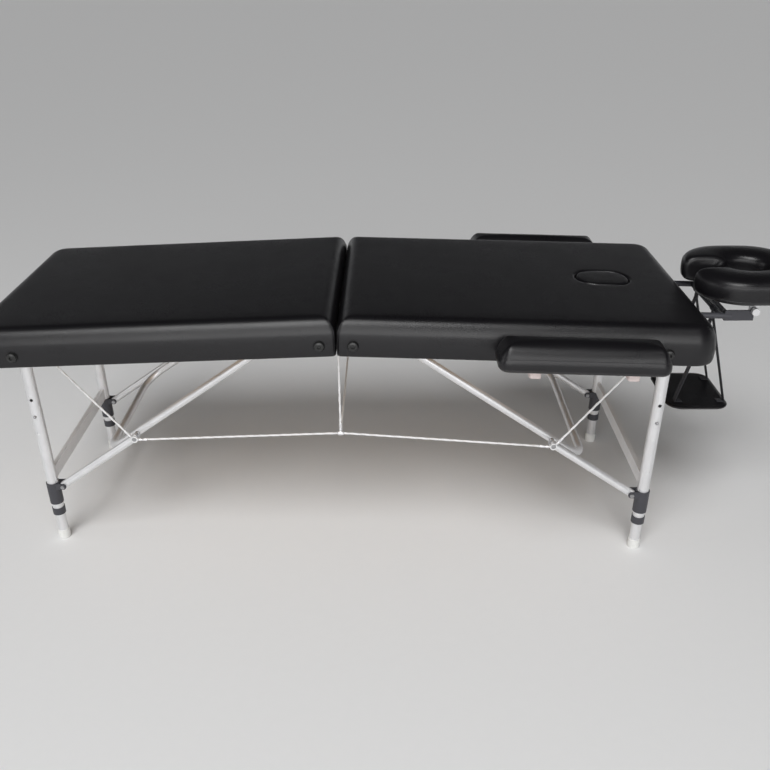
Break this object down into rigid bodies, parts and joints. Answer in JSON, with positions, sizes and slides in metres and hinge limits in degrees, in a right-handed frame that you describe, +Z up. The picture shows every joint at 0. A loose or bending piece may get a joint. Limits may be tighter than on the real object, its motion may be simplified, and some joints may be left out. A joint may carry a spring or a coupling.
{
  "type": "folding massage bed",
  "caption": "Portable massage bed that folds at its centre hinge, with telescoping legs, folding braces, face cradle, armrests and hanging arm shelf.",
  "frame": {"origin": "on the floor under the middle of the whole bed, headrest and armrests included", "axes": "+X to the head end, +Y to the far side with the carry handle, +Z up"},
  "size_m": [2.1654, 0.9248, 0.73],
  "materials": {
    "frame_wood": "sealed birch ply",
    "black_leather": "fine grain, satin",
    "black_plastic": "moulded",
    "aluminium": "satin anodised",
    "steel": "zinc plated",
    "white_cable": "coated wire rope",
    "white_plastic": "moulded",
    "holder_plastic": "pale moulded",
    "webbing": "woven strap"
  },
  "bodies": {
    "half_right": {"right_side_rails": "frame_wood", "right_cross_rails": "frame_wood", "right_deck": "frame_wood", "right_pad": "black_leather", "right_bumpers": "black_plastic", "right_pivot_brackets": "steel", "right_pivot_bolts": "steel", "right_stay_cables": "white_cable", "hinge_leaves_right": "steel", "right_carry_handle": "black_leather", "centre_cords": "white_cable"},
    "half_left": {"left_side_rails": "frame_wood", "left_cross_rails": "frame_wood", "left_deck": "frame_wood", "left_pad": "black_leather", "left_bumpers": "black_plastic", "left_pivot_brackets": "steel", "left_pivot_bolts": "steel", "left_stay_cables": "white_cable", "hinge_leaves_left": "steel", "left_carry_handle": "black_leather", "hinge_pins": "steel"},
    "legs_right": {"right_outer_legs": "aluminium", "right_leg_sleeves": "black_plastic", "right_leg_collars": "black_plastic", "right_leg_crossbar": "aluminium"},
    "hoop_right": {"right_brace_hoop": "aluminium"},
    "lower_braces_right": {"right_lower_braces": "aluminium", "right_brace_bolts": "steel"},
    "right_near_leg": {"right_near_inner_leg": "aluminium", "right_near_foot_cap": "white_plastic"},
    "right_near_button": {"right_near_snap_button": "steel"},
    "right_far_leg": {"right_far_inner_leg": "aluminium", "right_far_foot_cap": "white_plastic"},
    "right_far_button": {"right_far_snap_button": "steel"},
    "legs_left": {"left_outer_legs": "aluminium", "left_leg_sleeves": "black_plastic", "left_leg_collars": "black_plastic", "left_leg_crossbar": "aluminium"},
    "hoop_left": {"left_brace_hoop": "aluminium"},
    "lower_braces_left": {"left_lower_braces": "aluminium", "left_brace_bolts": "steel"},
    "left_near_leg": {"left_near_inner_leg": "aluminium", "left_near_foot_cap": "white_plastic"},
    "left_near_button": {"left_near_snap_button": "steel"},
    "left_far_leg": {"left_far_inner_leg": "aluminium", "left_far_foot_cap": "white_plastic"},
    "left_far_button": {"left_far_snap_button": "steel"},
    "near_armrest": {"near_armrest_pad": "black_leather", "near_armrest_holder": "holder_plastic"},
    "far_armrest": {"far_armrest_pad": "black_leather", "far_armrest_holder": "holder_plastic"},
    "plug": {"face_hole_plug": "black_leather"},
    "headrest": {"headrest_frame": "black_plastic", "cradle_bolts": "steel"},
    "cradle": {"cradle_plate": "aluminium", "cradle_cushion": "black_leather"},
    "shelf": {"arm_shelf": "black_leather", "shelf_straps": "webbing"}
  },
  "joints": [
    {"name": "centre_fold", "type": "hinge", "parent": "half_right", "child": "half_left", "pos_m": [-0.15527, 0, 0.61], "axis": [0, -1, 0], "range_deg": [0, 176], "deforming": ["left_stay_cables", "right_stay_cables", "centre_cords"]},
    {"name": "right_leg_fold", "type": "hinge", "parent": "half_right", "child": "legs_right", "pos_m": [0.66295, 0, 0.60194], "axis": [0, 1, 0], "range_deg": [0, 91]},
    {"name": "right_hoop_fold", "type": "hinge", "parent": "half_right", "child": "hoop_right", "pos_m": [-0.0785, 0, 0.65935], "axis": [0, -1, 0], "range_deg": [0, 32.56]},
    {"name": "right_lower_brace_fold", "type": "hinge", "parent": "legs_right", "child": "lower_braces_right", "pos_m": [0.624, 0, 0.17555], "axis": [0, 1, 0], "range_deg": [0, 56.46]},
    {"name": "right_near_leg_slide", "type": "slide", "parent": "legs_right", "child": "right_near_leg", "axis": [-0.0175, 0, -0.9998], "range_m": [0, 0.15], "deforming": ["right_near_snap_button"]},
    {"name": "right_near_button_press", "type": "slide", "parent": "right_near_leg", "child": "right_near_button", "axis": [0, 1, 0], "range_m": [0, 0.005], "stiffness_N_per_m": 400},
    {"name": "right_far_leg_slide", "type": "slide", "parent": "legs_right", "child": "right_far_leg", "axis": [-0.0175, 0, -0.9998], "range_m": [0, 0.15], "deforming": ["right_far_snap_button"]},
    {"name": "right_far_button_press", "type": "slide", "parent": "right_far_leg", "child": "right_far_button", "axis": [0, -1, 0], "range_m": [0, 0.005], "stiffness_N_per_m": 400},
    {"name": "left_leg_fold", "type": "hinge", "parent": "half_left", "child": "legs_left", "pos_m": [-0.97349, 0, 0.60194], "axis": [0, -1, 0], "range_deg": [0, 91]},
    {"name": "left_hoop_fold", "type": "hinge", "parent": "half_left", "child": "hoop_left", "pos_m": [-0.23204, 0, 0.65935], "axis": [0, 1, 0], "range_deg": [0, 32.56]},
    {"name": "left_lower_brace_fold", "type": "hinge", "parent": "legs_left", "child": "lower_braces_left", "pos_m": [-0.93454, 0, 0.17555], "axis": [0, -1, 0], "range_deg": [0, 56.46]},
    {"name": "left_near_leg_slide", "type": "slide", "parent": "legs_left", "child": "left_near_leg", "axis": [0.0175, 0, -0.9998], "range_m": [0, 0.15], "deforming": ["left_near_snap_button"]},
    {"name": "left_near_button_press", "type": "slide", "parent": "left_near_leg", "child": "left_near_button", "axis": [0, 1, 0], "range_m": [0, 0.005], "stiffness_N_per_m": 400},
    {"name": "left_far_leg_slide", "type": "slide", "parent": "legs_left", "child": "left_far_leg", "axis": [0.0175, 0, -0.9998], "range_m": [0, 0.15], "deforming": ["left_far_snap_button"]},
    {"name": "left_far_button_press", "type": "slide", "parent": "left_far_leg", "child": "left_far_button", "axis": [0, -1, 0], "range_m": [0, 0.005], "stiffness_N_per_m": 400},
    {"name": "near_armrest_pull", "type": "slide", "parent": "half_right", "child": "near_armrest", "axis": [0, -1, 0], "range_m": [0, 0.06]},
    {"name": "far_armrest_pull", "type": "slide", "parent": "half_right", "child": "far_armrest", "axis": [0, 1, 0], "range_m": [0, 0.06]},
    {"name": "plug_lift", "type": "slide", "parent": "half_right", "child": "plug", "axis": [0.0349, 0, 0.9994], "range_m": [0, 0.08]},
    {"name": "headrest_pull", "type": "slide", "parent": "half_right", "child": "headrest", "axis": [0.9994, 0, -0.0349], "range_m": [0, 0.06]},
    {"name": "cradle_tilt", "type": "hinge", "parent": "headrest", "child": "cradle", "pos_m": [0.92973, 0, 0.63369], "axis": [0, 1, 0], "range_deg": [-8, 25]},
    {"name": "shelf_swing", "type": "hinge", "parent": "headrest", "child": "shelf", "pos_m": [0.84473, 0, 0.61911], "axis": [0, 1, 0], "range_deg": [-12, 12]}
  ],
  "couplings": [
    {"joint": "right_leg_fold", "follows": "centre_fold", "ratio": 0.51704},
    {"joint": "right_hoop_fold", "follows": "centre_fold", "ratio": 0.18497},
    {"joint": "right_lower_brace_fold", "follows": "centre_fold", "ratio": 0.32071},
    {"joint": "left_leg_fold", "follows": "centre_fold", "ratio": 0.51704},
    {"joint": "left_hoop_fold", "follows": "centre_fold", "ratio": 0.18497},
    {"joint": "left_lower_brace_fold", "follows": "centre_fold", "ratio": 0.32071}
  ]
}
